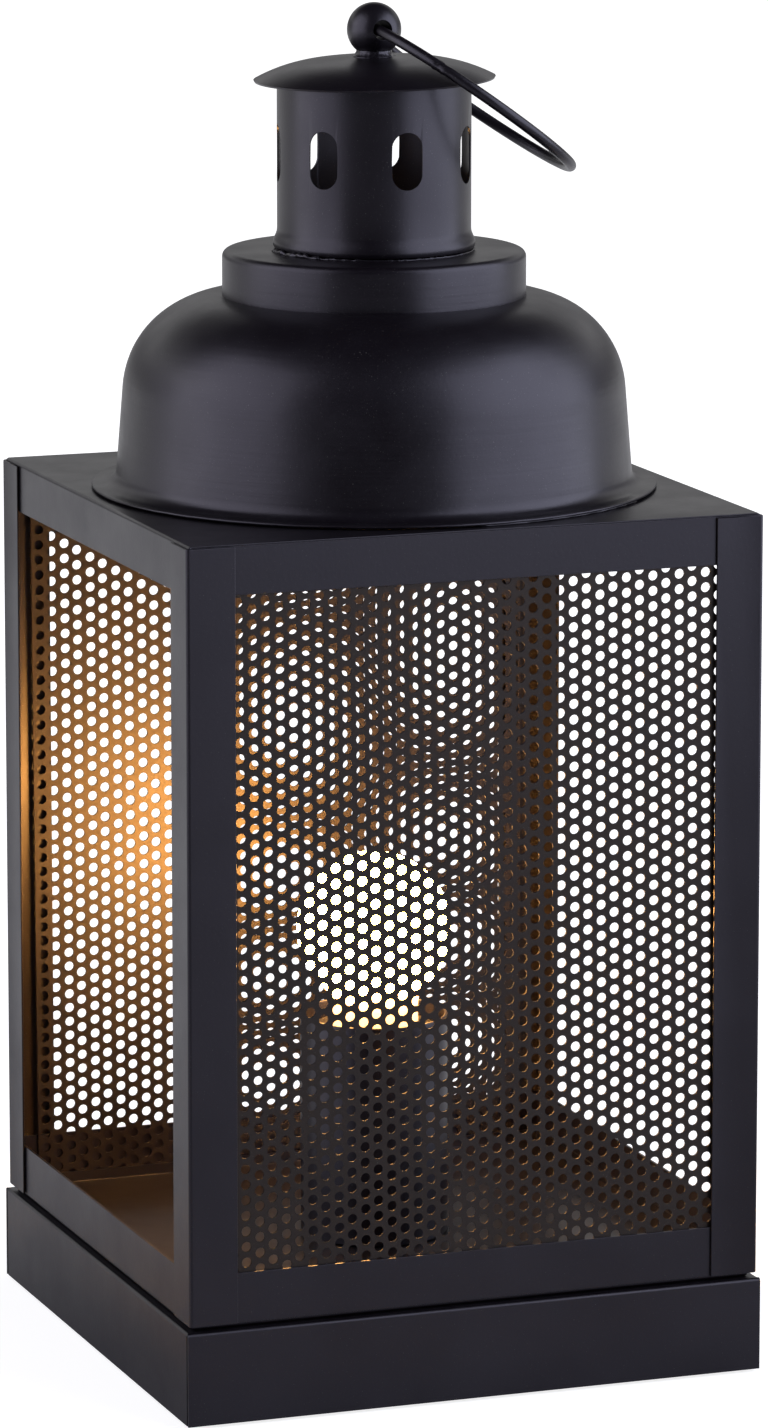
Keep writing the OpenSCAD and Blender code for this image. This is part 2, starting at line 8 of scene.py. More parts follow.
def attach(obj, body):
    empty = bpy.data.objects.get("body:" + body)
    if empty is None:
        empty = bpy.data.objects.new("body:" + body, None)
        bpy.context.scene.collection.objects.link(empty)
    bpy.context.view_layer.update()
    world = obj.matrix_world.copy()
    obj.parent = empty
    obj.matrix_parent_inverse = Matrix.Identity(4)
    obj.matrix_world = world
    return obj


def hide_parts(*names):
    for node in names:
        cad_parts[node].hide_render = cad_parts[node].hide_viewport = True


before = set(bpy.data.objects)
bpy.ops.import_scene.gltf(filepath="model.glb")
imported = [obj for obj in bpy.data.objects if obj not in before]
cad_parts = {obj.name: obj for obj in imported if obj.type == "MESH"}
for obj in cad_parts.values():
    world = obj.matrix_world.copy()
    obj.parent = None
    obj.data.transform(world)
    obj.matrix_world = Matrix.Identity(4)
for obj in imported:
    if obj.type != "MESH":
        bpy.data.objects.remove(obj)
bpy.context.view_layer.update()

# Lantern table lamp in black powder-coated sheet steel, lit, on a white studio floor.
# Metres, +Z up, -Y is the front. Front and back are perforated. Sizes below are in millimetres.

MM = 0.001
ops = bpy.ops

# Levels, from the ground up
FOOT = 1.0
PLINTH_TOP = 27.8
FLOOR = 28.6
CAGE_LOW = 29.3
CAGE_TOP = 249.5
DOME_TOP = 304.7
NECK_TOP = 317.7
CHIMNEY_TOP = 368.8
CAP_TOP = 373.0
BALL_Z = 380.6
HINGE_Z = 380.6

# Half widths of the plinth, posts and rails
PLINTH = (86.3, 85.8)
POST = (85.5, 85.0)
RAIL = (84.7, 84.2)
SHEET = 0.8
FLANGE = 14.2
POST_TOP = 248.9      # the posts stop just below the roof plate, which leaves a dark seam
ROOF_UNDERSIDE = 249.0
TOP_RAIL_LOW = 235.3
BOTTOM_RAIL_HIGH = 43.7
SIDE_RAIL_Y = 83.4    # half the length of the left and right rails
PAN = (83.9, 82.7)
PAN_RIM = 4.0

# Drawn thinner than SHEET, to match how fine their cut edges look
POST_SHEET = 0.65
ROOF_SHEET = 0.5
CORNER_SLIT = 0.75    # between the folded walls of the plinth
ROOF_OPENING = 50     # radius, under the dome

# Vent slots of the chimney: the middle height, the end radius and half the straight part
SLOTS = 7
SLOT_Z = 345.6
SLOT_R = 4.6
SLOT_STRAIGHT = 3.6
SCREW_R = 2.15        # bore of the finial's screw through cap and seat


# ---- Modelling ----

def deselect():
    if bpy.context.object and bpy.context.object.mode != "OBJECT":
        ops.object.mode_set(mode="OBJECT")
    ops.object.select_all(action="DESELECT")


def only(obj):
    deselect()
    obj.select_set(True)
    bpy.context.view_layer.objects.active = obj
    return obj


def start(name, primitive, location=(0, 0, 0), **settings):
    """Adds a primitive at a place in millimetres, and goes into edit mode with all of it selected."""
    deselect()
    primitive(location=[v * MM for v in location], **settings)
    obj = bpy.context.object
    obj.name = name
    ops.object.transform_apply(location=True, rotation=True, scale=True)
    ops.object.mode_set(mode="EDIT")
    ops.mesh.select_mode(type="VERT")
    return obj


def done(obj, smooth=None):
    ops.object.mode_set(mode="OBJECT")
    if smooth is not None:
        ops.object.shade_smooth_by_angle(angle=math.radians(smooth))
    return obj


def pick(kind, test):
    """Selects the vertices, edges or faces whose middle, in millimetres, passes a test."""
    ops.mesh.select_mode(type=kind)
    ops.mesh.select_all(action="DESELECT")
    mesh = bpy.context.edit_object.data
    shape = bmesh.from_edit_mesh(mesh)
    for item in {"VERT": shape.verts, "EDGE": shape.edges, "FACE": shape.faces}[kind]:
        if kind == "VERT":
            middle = item.co
        elif kind == "EDGE":
            middle = (item.verts[0].co + item.verts[1].co) / 2
        else:
            middle = item.calc_center_median()
        item.select_set(bool(test(middle / MM, item)))
    shape.select_flush_mode()
    bmesh.update_edit_mesh(mesh)


def near(a, b, gap=0.05):
    return abs(a - b) < gap


def move(x, y, z):
    ops.transform.translate(value=(x * MM, y * MM, z * MM))


def pull_edges(x, y, z):
    """Extrudes the selected edges by a step in millimetres."""
    ops.mesh.extrude_edges_move(TRANSFORM_OT_translate={"value": (x * MM, y * MM, z * MM)})


def modify(obj, kind, **settings):
    """Adds a modifier and applies it."""
    only(obj)
    modifier = obj.modifiers.new(kind, kind)
    for key, value in settings.items():
        setattr(modifier, key, value)
    ops.object.modifier_apply(modifier=modifier.name)
    return obj


def thicken(obj, thickness=SHEET, edge=0.12):
    """Gives a folded sheet its thickness, inwards, and breaks its cut edges."""
    modify(obj, "SOLIDIFY", thickness=thickness * MM, offset=-1, use_even_offset=True)
    modify(obj, "BEVEL", width=edge * MM, segments=2, limit_method="ANGLE",
           angle_limit=math.radians(50))
    return level_faces(obj)


def level_faces(obj):
    """Smooths the small rounded edges and keeps the large flat faces flat."""
    only(obj)
    ops.object.shade_smooth_by_angle(angle=math.radians(40))
    return modify(obj, "WEIGHTED_NORMAL", keep_sharp=True, mode="FACE_AREA", weight=50)


def outwards():
    """Merges what lies together and turns the faces outwards, in edit mode."""
    ops.mesh.select_all(action="SELECT")
    ops.mesh.remove_doubles(threshold=1e-6)
    ops.mesh.normals_make_consistent(inside=False)


def arc(x, z, r, a, b, steps):
    """Points along an arc, from angle a to angle b in degrees."""
    turns = [math.radians(a + (b - a) * i / steps) for i in range(steps + 1)]
    return [(x + r * math.cos(t), z + r * math.sin(t)) for t in turns]


def turned(name, profile, steps=128, closed=True, smooth=32):
    """A round piece: a point drawn along a profile of (radius, height), then spun round the axis."""
    obj = start(name, ops.mesh.primitive_plane_add, size=MM)
    ops.mesh.merge(type="CENTER")
    move(profile[0][0], 0, profile[0][1])
    for (r0, z0), (r1, z1) in zip(profile, profile[1:]):
        ops.mesh.extrude_vertices_move(
            TRANSFORM_OT_translate={"value": ((r1 - r0) * MM, 0, (z1 - z0) * MM)})
    if closed:
        ends = profile[0], profile[-1]
        pick("VERT", lambda m, v: any(near(m.x, r, 1e-3) and near(m.z, z, 1e-3) for r, z in ends))
        ops.mesh.edge_face_add()
    ops.mesh.select_all(action="SELECT")
    ops.mesh.spin(steps=steps, angle=2 * math.pi, center=(0, 0, 0), axis=(0, 0, 1))
    outwards()
    return done(obj, smooth)


def copy_of(obj, name):
    only(obj)
    ops.object.duplicate(linked=False)
    other = bpy.context.object
    other.name = name
    return other


def mirrored(obj, name, x, y):
    """A copy mirrored in X, in Y or in both."""
    other = copy_of(obj, name)
    other.scale = (-1 if x else 1, -1 if y else 1, 1)
    ops.object.transform_apply(location=False, rotation=False, scale=True)
    ops.object.mode_set(mode="EDIT")
    outwards()
    return done(other)


def roughen(obj, test, height, size, axis="NORMAL"):
    """Uneven solder or weld: pushes the points that pass a test in and out."""
    group = obj.vertex_groups.new(name="rough")
    group.add([v.index for v in obj.data.vertices if test(v.co / MM)], 1, "REPLACE")
    texture = bpy.data.textures.new(obj.name + ".lumps", "CLOUDS")
    texture.noise_scale = size * MM
    texture.noise_depth = 2
    modify(obj, "DISPLACE", texture=texture, texture_coords="LOCAL", strength=height * MM,
           mid_level=0.5, vertex_group="rough", direction=axis)
    obj.vertex_groups.clear()
    bpy.data.textures.remove(texture)
    return obj


# ---- Materials ----

def linear(colour):
    """sRGB hex to the linear colour that the shader takes."""
    parts = [int(colour[i:i + 2], 16) / 255 for i in (1, 3, 5)]
    return [c / 12.92 if c <= 0.04045 else ((c + 0.055) / 1.055) ** 2.4 for c in parts] + [1]


def add(tree, kind, sockets=None, **settings):
    """Adds a node. A socket takes a value, a node (its first output) or a (node, output) pair."""
    node = tree.nodes.new(kind)
    for key, value in settings.items():
        setattr(node, key, value)
    for key, value in (sockets or {}).items():
        if isinstance(value, bpy.types.Node):
            tree.links.new(value.outputs[0], node.inputs[key])
        elif isinstance(value, tuple) and isinstance(value[0], bpy.types.Node):
            tree.links.new(value[0].outputs[value[1]], node.inputs[key])
        else:
            node.inputs[key].default_value = value
    return node


def new_material(name):
    """An empty material, its node tree and the object coordinates."""
    material = bpy.data.materials.new(name)
    material.use_nodes = True
    tree = material.node_tree
    tree.nodes.clear()
    where = (add(tree, "ShaderNodeTexCoord"), "Object")
    return material, tree, where


def finish_material(tree, shader):
    add(tree, "ShaderNodeOutputMaterial", {"Surface": shader})


def painted_steel(name, colour, light, rough=(0.31, 0.41), spun=0.0, coat_bump=0.10,
                  tint="#f7f3ff"):
    """Black polyester powder coat, baked on sheet steel: satin, with a fine orange peel about a
    millimetre across, faint clouds in its gloss, and dust that lightens it here and there."""
    material, tree, where = new_material(name)
    clouds = add(tree, "ShaderNodeTexNoise", {"Vector": where, "Scale": 38, "Detail": 4, "Roughness": 0.6})
    peel = add(tree, "ShaderNodeTexNoise", {"Vector": where, "Scale": 900, "Detail": 2, "Roughness": 0.5})
    grit = add(tree, "ShaderNodeTexNoise", {"Vector": where, "Scale": 2600, "Detail": 1, "Roughness": 0.5})
    tone = add(tree, "ShaderNodeMapRange", {"Value": clouds, "From Min": 0.3, "From Max": 0.72})
    speck = add(tree, "ShaderNodeMapRange", {"Value": grit, "From Min": 0.70, "From Max": 0.80})
    shade = add(tree, "ShaderNodeMix", {0: tone, 6: linear(colour), 7: linear(light)}, data_type="RGBA")
    dusty = add(tree, "ShaderNodeMix", {0: (speck, 0), 6: (shade, 2), 7: linear("#4a4946")},
                data_type="RGBA")
    gloss = add(tree, "ShaderNodeMapRange", {
        "Value": clouds, "From Min": 0.3, "From Max": 0.7, "To Min": rough[0], "To Max": rough[1]})
    bump = add(tree, "ShaderNodeBump", {"Height": peel, "Strength": coat_bump, "Distance": 0.0002})
    if spun:
        # turning marks left by the spinning roller: fine rings round the axis, 0.6 mm apart
        stretch = add(tree, "ShaderNodeMapping", {"Vector": where, "Scale": (0.03, 0.03, 1)})
        rings = add(tree, "ShaderNodeTexNoise", {"Vector": stretch, "Scale": 700, "Detail": 3})
        bump = add(tree, "ShaderNodeBump", {
            "Height": rings, "Strength": spun, "Distance": 0.0003, "Normal": bump})
    paint = add(tree, "ShaderNodeBsdfPrincipled", {
        "Base Color": (dusty, 2), "Roughness": gloss, "Normal": bump, "IOR": 1.5,
        "Specular Tint": linear(tint)})
    finish_material(tree, paint)
    return material


# Folded sheet: flat satin black with a soft, slightly violet sheen where a light is mirrored.
black_paint = painted_steel("black_powder_coat_on_folded_steel", "#080509", "#0c090e")
# Spun pieces: the same coat over fine turning rings, which draw a highlight out into a band.
spun_paint = painted_steel("black_powder_coat_on_spun_steel", "#080509", "#0c090e", spun=0.16)
# The floor pan: a smoother coat, in which the lit bulb is seen as a soft warm patch.
pan_paint = painted_steel("black_powder_coat_on_pressed_tray", "#0a0708", "#0e0b0c",
                          rough=(0.34, 0.42), coat_bump=0.03)
# Perforated sheet: a duller, browner black that turns amber close to the bulb.
mesh_paint = painted_steel("black_powder_coat_on_perforated_steel", "#0d0908", "#130e0b",
                           rough=(0.41, 0.51), coat_bump=0.16, tint="#f1e2d7")
# Walls of the holes: thin, matt coat without highlights, which keeps the holes crisp.
hole_paint = painted_steel("black_powder_coat_in_punched_holes", "#15110f", "#1c1714",
                           rough=(0.8, 0.9), coat_bump=0.2)
# Lips of the vent slots: a fine pale grey line, a painted highlight.
slot_lip_highlight = painted_steel("rubbed_powder_coat_on_punched_lips", "#85828a", "#a19ea6",
                             rough=(0.30, 0.40))
# Brushed-on solder under the coat: glossier small lumps that glint along a seam.
solder = painted_steel("black_powder_coat_over_solder", "#141216", "#1b191c", rough=(0.24, 0.36),
                       coat_bump=0.3)


def plain_solid(name, colour, light, rough, metallic=0.0, size=600, bump=0.1, **sockets):
    """A moulded, turned or rolled solid with fine tone, gloss and surface variation."""
    material, tree, where = new_material(name)
    grain = add(tree, "ShaderNodeTexNoise", {"Vector": where, "Scale": size, "Detail": 3})
    tone = add(tree, "ShaderNodeMapRange", {"Value": grain, "From Min": 0.3, "From Max": 0.7})
    shade = add(tree, "ShaderNodeMix", {0: tone, 6: linear(colour), 7: linear(light)}, data_type="RGBA")
    gloss = add(tree, "ShaderNodeMapRange", {
        "Value": grain, "From Min": 0.3, "From Max": 0.7, "To Min": rough - 0.06, "To Max": rough + 0.06})
    relief = add(tree, "ShaderNodeBump", {"Height": grain, "Strength": bump, "Distance": 0.0001})
    solid = add(tree, "ShaderNodeBsdfPrincipled", {
        "Base Color": (shade, 2), "Roughness": gloss, "Normal": relief, "Metallic": metallic, **sockets})
    finish_material(tree, solid)
    return material


# Zinc-plated screws and nuts: a cool, bright grey with soft highlights.
zinc = plain_solid("zinc_plated_steel", "#9ea1a3", "#b8bbbd", 0.36, 1.0)
# Contacts and clamps: warm yellow metal, turned smooth.
brass = plain_solid("turned_brass", "#b08d45", "#c9a55a", 0.3, 1.0)
# The bulb's screw cap: pale, bright metal.
rolled_aluminium = plain_solid("rolled_aluminium", "#c2c3c4", "#d2d3d4", 0.28, 1.0)
# Feet and grommet: a matt near-black that takes no highlight.
rubber = plain_solid("moulded_rubber", "#141414", "#1e1e1d", 0.72, size=1500, bump=0.3)
# Holder body: hard brown-black with a faint gloss.
phenolic = plain_solid("moulded_phenolic", "#141210", "#1d1a17", 0.32)
# Holder insert: glossy, warm off-white glaze.
ceramic = plain_solid("glazed_ceramic", "#dcd7cb", "#e8e4da", 0.18, size=200, bump=0.05)
# Terminal block: a dull ivory.
block_plastic = plain_solid("moulded_polyamide", "#d3cfc2", "#dedace", 0.45)
# Live lead: plain dark brown sleeving.
brown_lead = plain_solid("brown_pvc_sleeving", "#4a2a14", "#55321a", 0.4)
# Neutral lead: plain mid blue sleeving.
blue_lead = plain_solid("blue_pvc_sleeving", "#1f4f8c", "#28599a", 0.4)
# Earth lead: green that turns yellow in patches along it.
green_lead = plain_solid("green_and_yellow_pvc_sleeving", "#3f6b1a", "#7a8f1f", 0.4, size=90)
# The bulb's inner stem: a clean, hard shine.
clear_glass = plain_solid("drawn_clear_glass", "#eef2f2", "#f6f8f8", 0.08, size=150, bump=0.02)


def lit_opal(name, colour, light, strength, dim, low, high):
    """Opal-coated glass, lit from inside: an even, warm light with faint streaks of the coating. It falls
    off near the cap, between two heights, to a dimmer cream."""
    material, tree, where = new_material(name)
    coat = add(tree, "ShaderNodeTexNoise", {"Vector": where, "Scale": 160, "Detail": 2})
    tone = add(tree, "ShaderNodeMix", {0: coat, 6: linear(colour), 7: linear(light)}, data_type="RGBA")
    place_on = add(tree, "ShaderNodeSeparateXYZ", {0: where})
    fall = add(tree, "ShaderNodeMapRange", {
        "Value": (place_on, "Z"), "From Min": low * MM, "From Max": high * MM, "To Min": dim,
        "To Max": strength}, interpolation_type="SMOOTHSTEP")
    opal = add(tree, "ShaderNodeBsdfPrincipled", {
        "Base Color": (tone, 2), "Roughness": 0.25, "IOR": 1.5,
        "Emission Color": linear("#ffb861"), "Emission Strength": fall})
    finish_material(tree, opal)
    return material


opal = lit_opal("lit_opal_glass", "#f4ead6", "#faf2e2", 108, 3, 96, 108)
filament = lit_opal("lit_phosphor", "#ffe2a8", "#fff0c8", 8, 6, 96, 130)


# ---- Frame of the lantern ----

def place(obj, material, slot, *nodes, body="lantern"):
    obj.data.materials.clear()
    obj.data.materials.append(material)
    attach(obj, body)
    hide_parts(*nodes)
    return obj


def make_plinth():
    """A lid of sheet steel with its four edges folded down, open by a slit at each corner."""
    px, py = PLINTH
    notch = py - SHEET - CORNER_SLIT
    obj = start("plinth", ops.mesh.primitive_plane_add, (0, 0, PLINTH_TOP), size=1)
    ops.transform.resize(value=(2 * px * MM, 2 * py * MM, 1))
    for y in (-notch, notch):
        ops.mesh.select_all(action="SELECT")
        ops.mesh.bisect(plane_co=(0, y * MM, 0), plane_no=(0, 1, 0), threshold=1e-6)
    down = FOOT - PLINTH_TOP
    pick("EDGE", lambda m, e: near(abs(m.x), px) and abs(m.y) < 1)
    pull_edges(0, 0, down)
    pick("EDGE", lambda m, e: near(abs(m.y), py) and abs(m.x) < 1)
    pull_edges(0, 0, down)
    pick("EDGE", lambda m, e: near(m.z, PLINTH_TOP) and (
        (near(abs(m.x), px) and abs(m.y) < 1) or (near(abs(m.y), py) and abs(m.x) < 1)))
    ops.mesh.bevel(offset=0.9 * MM, segments=4, affect="EDGES")
    outwards()
    done(obj)
    return thicken(obj)


def make_post():
    """An angle of folded sheet: the back right one, which the others mirror."""
    px, py = POST
    height = POST_TOP - CAGE_LOW
    obj = start("post_back_right", ops.mesh.primitive_plane_add, (0, 0, 0), size=1)
    ops.transform.resize(value=(FLANGE * MM, height * MM, 1))
    # stands the flat flange up against the back
    ops.transform.rotate(value=math.radians(90), orient_axis="X", center_override=(0, 0, 0))
    move(px - FLANGE / 2, py, CAGE_LOW + height / 2)
    pick("EDGE", lambda m, e: near(m.x, px))
    pull_edges(0, -FLANGE, 0)
    pick("EDGE", lambda m, e: near(m.x, px) and near(m.y, py))
    ops.mesh.bevel(offset=1.0 * MM, segments=5, affect="EDGES")
    outwards()
    done(obj)
    turn_outwards(obj, Vector((px, py, 0)))
    return thicken(obj, POST_SHEET, edge=0.3)


def turn_outwards(obj, towards):
    """An open sheet has no inside, so its faces are turned by hand to look one way."""
    mesh = obj.data
    tally = sum(f.normal.dot(towards) * f.area for f in mesh.polygons)
    if tally < 0:
        only(obj)
        ops.object.mode_set(mode="EDIT")
        ops.mesh.select_all(action="SELECT")
        ops.mesh.flip_normals()
        ops.object.mode_set(mode="OBJECT")


def make_strip(name, x, y, z, half_x, half_y, height):
    """A flat rail: a strip of sheet, guillotined, with its edges rounded by the paint."""
    obj = start(name, ops.mesh.primitive_cube_add, (x, y, z + height / 2), size=1)
    ops.transform.resize(value=(2 * half_x * MM, 2 * half_y * MM, height * MM))
    ops.mesh.select_all(action="SELECT")
    ops.mesh.bevel(offset=0.16 * MM, segments=2, affect="EDGES")
    outwards()
    return level_faces(done(obj))


def make_plate():
    """The roof: a flat sheet with a round opening, folded down along its left and right edges."""
    px, py = RAIL
    obj = start("roof_plate", ops.mesh.primitive_circle_add, (0, 0, CAGE_TOP),
                vertices=4, radius=math.sqrt(0.5), fill_type="NOTHING", rotation=(0, 0, math.radians(45)))
    ops.transform.resize(value=(2 * px * MM, 2 * py * MM, 1))
    ops.mesh.subdivide(number_cuts=31)
    ops.mesh.primitive_circle_add(vertices=128, radius=ROOF_OPENING * MM, location=(0, 0, CAGE_TOP * MM))
    ops.mesh.select_all(action="SELECT")
    ops.mesh.bridge_edge_loops()
    pick("EDGE", lambda m, e: near(abs(m.x), px))
    pull_edges(0, 0, TOP_RAIL_LOW - CAGE_TOP)
    pick("EDGE", lambda m, e: near(abs(m.x), px) and near(m.z, CAGE_TOP))
    ops.mesh.bevel(offset=0.9 * MM, segments=4, affect="EDGES")
    outwards()
    done(obj)
    turn_outwards(obj, Vector((0, 0, 1)))
    return thicken(obj, ROOF_SHEET, edge=0.12)


def make_pan():
    """The floor: a shallow pressed tray with a low upturned rim."""
    px, py = PAN
    obj = start("floor_tray", ops.mesh.primitive_plane_add, (0, 0, PLINTH_TOP), size=1)
    ops.transform.resize(value=(2 * px * MM, 2 * py * MM, 1))
    pick("EDGE", lambda m, e: True)
    pull_edges(0, 0, PAN_RIM)
    pick("EDGE", lambda m, e: near(m.z, PLINTH_TOP) or (near(abs(m.x), px) and near(abs(m.y), py)))
    ops.mesh.bevel(offset=0.9 * MM, segments=3, affect="EDGES")
    outwards()
    done(obj)
    turn_outwards(obj, Vector((0, 0, -1)))
    return thicken(obj, edge=0.37)


HOLE_R = 1.46
SHEET_LOW = 29.8
SHEET_HIGH = 248.2
SHEET_T = 0.6
COLUMNS, ROWS = 44, 56
FIRST_ROW = -28      # rows are counted from the row that the start height gives

# The sheets were punched a little unevenly, which shows as streaks where one is seen through the other.
# Lengths are in millimetres, places are numbers of a column or a row, and "lean" and "rise" are slopes.
# "odd" is how far the odd columns stand off the even ones. "wave" is the columns' slow wander sideways:
# its height as a length, then its length and its crest in columns. "sink" and "feed" say from which
# column or row the step changes, and by how much.
FRONT_PUNCH = {
    "outer_y": -83.4, "facing": -1, "edges": (-75.1, 75.05), "first_column": -34,
    "start": (45.47, 144.76), "column": 3.958, "pitch": 4.47, "lean": -0.0102, "rise": 0.0053,
    "odd": (-0.08, -0.16), "wave": (0.22, 36, -30), "sink": (-6, 0.07), "feed": (12, 1, -0.11),
}
BACK_PUNCH = {
    "outer_y": 83.4, "facing": 1, "edges": (-77.3, 77.6), "first_column": -10,
    "start": (-47.16, 144.14), "column": 3.95, "pitch": 4.513, "lean": -0.0038, "rise": -0.002,
    "odd": (0.14, -0.12), "wave": (0.40, 80, 22), "sink": (-10, 0), "feed": (-2, -1, 0.28),
}


def hole_place(punch, column, row):
    """Where the uneven punching put the hole of a column and a row: X and Z in millimetres."""
    last_even_row, side, change = punch["feed"]
    up = row * punch["pitch"] + change * max(0, (row - last_even_row) * side)
    along = column * punch["column"]
    up += punch["rise"] * along
    along += punch["lean"] * up
    height, length, crest = punch["wave"]
    along += height * math.cos(2 * math.pi * (column - crest) / length)
    last_level_column, drop = punch["sink"]
    up -= drop * max(0, last_level_column - column)
    if column % 2:
        along += punch["odd"][0]
        up += punch["odd"][1]
    x, z = punch["start"]
    return Vector((x + along, z + up))


def wear_pattern(obj, punch):
    """Moves every hole, whole and round, to where the worn punch put it. The webs between follow."""
    column_step, pitch = punch["column"], punch["pitch"]
    shifts = {}

    def cell(x, y):
        column = round(x / column_step)
        row = round(y / pitch - column % 2 / 2) + column % 2 / 2
        return column, row

    def shift(column, row):
        if (column, row) not in shifts:
            middle = Vector((column * column_step, row * pitch))
            place = hole_place(punch, column + punch["first_column"], row + FIRST_ROW)
            shifts[column, row] = place - middle
        return shifts[column, row]

    for vertex in obj.data.vertices:
        x, y = vertex.co.x / MM, vertex.co.y / MM
        column, row = cell(x, y)
        if math.hypot(x - column * column_step, y - row * pitch) < HOLE_R + 0.05:
            step = shift(column, row)
        else:
            nearby = [shift(*cell(x + a, y + b)) for a in (-0.4, 0.4) for b in (-0.4, 0.4)]
            step = sum(nearby, Vector((0, 0))) / 4
        vertex.co.x += step.x * MM
        vertex.co.y += step.y * MM


def make_perforated(name, punch):
    """Perforated steel: one cell with its hole, arrayed in staggered columns, worn and cut to size."""
    column, pitch = punch["column"], punch["pitch"]
    obj = start(name, ops.mesh.primitive_plane_add, (0, 0, 0), size=1)
    ops.transform.resize(value=(column * MM, pitch * MM, 1))
    ops.mesh.delete(type="ONLY_FACE")
    pick("EDGE", lambda m, e: near(abs(m.x), column / 2))
    ops.mesh.subdivide(number_cuts=3)
    pick("EDGE", lambda m, e: near(abs(m.y), pitch / 2))
    ops.mesh.subdivide(number_cuts=1)
    ops.mesh.primitive_circle_add(vertices=12, radius=HOLE_R * MM, location=(0, 0, 0))
    ops.mesh.select_all(action="SELECT")
    ops.mesh.bridge_edge_loops()
    done(obj)
    for count, step in ((2, (column, pitch / 2)), (COLUMNS // 2, (2 * column, 0)), (ROWS, (0, pitch))):
        modify(obj, "ARRAY", count=count, use_relative_offset=False, use_constant_offset=True,
               constant_offset_displace=(step[0] * MM, step[1] * MM, 0))
    only(obj)
    ops.object.mode_set(mode="EDIT")
    ops.mesh.select_all(action="SELECT")
    ops.mesh.remove_doubles(threshold=1e-5)
    ops.object.mode_set(mode="OBJECT")
    wear_pattern(obj, punch)
    only(obj)
    ops.object.mode_set(mode="EDIT")
    ops.mesh.select_all(action="SELECT")
    # stands the flat sheet up
    ops.transform.rotate(value=math.radians(-90), orient_axis="X", center_override=(0, 0, 0))
    move(0, punch["outer_y"], 0)
    lean, height = punch["lean"], punch["start"][1]
    left, right = punch["edges"]
    for co, no in (((left, 0, height), (-1, 0, lean)), ((right, 0, height), (1, 0, -lean)),
                   ((0, 0, SHEET_LOW), (0, 0, -1)), ((0, 0, SHEET_HIGH), (0, 0, 1))):
        ops.mesh.select_all(action="SELECT")
        ops.mesh.bisect(plane_co=[v * MM for v in co], plane_no=no, clear_outer=True, threshold=1e-6)
    outwards()
    done(obj)
    turn_outwards(obj, Vector((0, punch["facing"], 0)))
    modify(obj, "SOLIDIFY", thickness=SHEET_T * MM, offset=-1)
    only(obj)
    ops.object.shade_smooth_by_angle(angle=math.radians(40))
    return obj


def coat_holes(obj):
    """The walls of the punched holes take the coat thin and matt."""
    obj.data.materials.append(hole_paint)
    for face in obj.data.polygons:
        face.material_index = 1 if abs(face.normal.y) < 0.5 else 0


def coat_inside(obj):
    """The inner faces of a post took less powder and are duller."""
    obj.data.materials.append(mesh_paint)
    for face in obj.data.polygons:
        middle = face.center
        face.material_index = 1 if face.normal.x * middle.x < 0 and abs(face.normal.x) > 0.7 or (
            face.normal.y * middle.y < 0 and abs(face.normal.y) > 0.7) else 0


place(make_plinth(), black_paint, "black_paint", "base_plinth")
post = make_post()
posts = {
    "corner_post_back_right": post,
    "corner_post_back_left": mirrored(post, "post_back_left", True, False),
    "corner_post_front_right": mirrored(post, "post_front_right", False, True),
    "corner_post_front_left": mirrored(post, "post_front_left", True, True),
}
for cad_name, piece in posts.items():
    coat_inside(place(piece, black_paint, "black_paint", cad_name))

rail_x, rail_y = RAIL
cross_y = rail_y - SHEET / 2
side_x = rail_x - SHEET / 2
top_h = ROOF_UNDERSIDE - TOP_RAIL_LOW
low_h = BOTTOM_RAIL_HIGH - CAGE_LOW
for cad_name, name, x, y, z, half_x, half_y, height in (
    ("front_top_rail", "top_rail_front", 0, -cross_y, TOP_RAIL_LOW, rail_x, SHEET / 2, top_h),
    ("back_top_rail", "top_rail_back", 0, cross_y, TOP_RAIL_LOW, rail_x, SHEET / 2, top_h),
    ("front_bottom_rail", "bottom_rail_front", 0, -cross_y, CAGE_LOW, rail_x, SHEET / 2, low_h),
    ("back_bottom_rail", "bottom_rail_back", 0, cross_y, CAGE_LOW, rail_x, SHEET / 2, low_h),
    ("left_bottom_rail", "bottom_rail_left", -side_x, 0, CAGE_LOW, SHEET / 2, SIDE_RAIL_Y, low_h),
    ("right_bottom_rail", "bottom_rail_right", side_x, 0, CAGE_LOW, SHEET / 2, SIDE_RAIL_Y, low_h),
):
    place(make_strip(name, x, y, z, half_x, half_y, height), black_paint, "black_paint", cad_name)

place(make_plate(), black_paint, "black_paint", "top_plate")
place(make_pan(), pan_paint, "black_paint", "floor_pan")
for cad_name, name, punch in (
    ("front_mesh", "perforated_front", FRONT_PUNCH), ("back_mesh", "perforated_back", BACK_PUNCH),
):
    coat_holes(place(make_perforated(name, punch), mesh_paint, "perforated_sheet", cad_name))


# ---- Dome, neck, chimney, cap and finial ----

def make_dome():
    """A spun dome with a narrow flange, hemmed at its edge, that stands just clear of the roof."""
    base = CAGE_TOP
    wall_foot = 78.0, base + 5.2
    shoulder = 43.9, DOME_TOP - 28.3
    bend, sheet = 28.3, 0.6
    hem = 80.72, base + 0.87
    profile = (
        [(38, DOME_TOP)]
        + arc(*shoulder, bend, 90, 4.5, 24)
        + arc(*wall_foot, 4, 180, 270, 8)
        + [(80.2, base + 1.28)]
        + arc(*hem, 0.45, 80, -120, 8)
        + [(80.2, base + 0.62)]
        + arc(*wall_foot, 4 + sheet, 270, 180, 8)
        + arc(*shoulder, bend - sheet, 4.5, 90, 24)
        + [(38, DOME_TOP - sheet)]
    )
    obj = turned("dome_shell", profile, steps=192)
    roughen(obj, lambda m: m.z < base + 1.7 and math.hypot(m.x, m.y) > 80.0, 0.22, 4.0, axis="Z")
    return roughen(obj, lambda m: base + 8 < m.z < DOME_TOP - 1, 0.25, 26.0)


